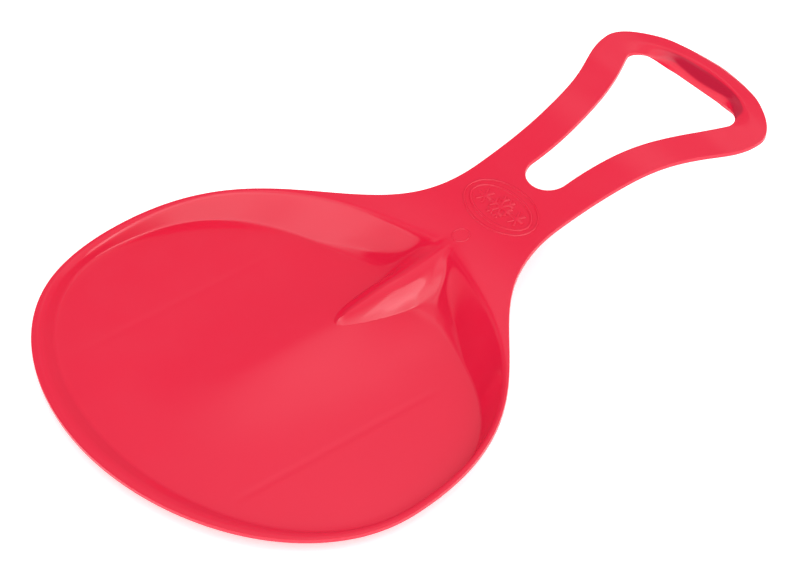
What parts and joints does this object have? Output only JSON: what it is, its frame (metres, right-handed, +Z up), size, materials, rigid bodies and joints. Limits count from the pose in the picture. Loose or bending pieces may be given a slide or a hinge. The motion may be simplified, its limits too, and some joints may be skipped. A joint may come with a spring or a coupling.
{
  "type": "snow slider",
  "caption": "Hand-held snow slider: a pear-shaped scooped seat with a ridge at its front, a narrow neck and a hand loop with a half-round grip, moulded in one piece.",
  "frame": {"origin": "centre of the slider's footprint, at the height of the runners' feet", "axes": "+Y from the rear of the seat towards the hand grip, +X across the seat, +Z up"},
  "size_m": [0.314, 0.501, 0.059],
  "materials": {
    "red_polyethylene": "glossy moulded polyethylene, bright red all through"
  },
  "bodies": {
    "root": {"sled_shell": "red_polyethylene"}
  },
  "joints": []
}
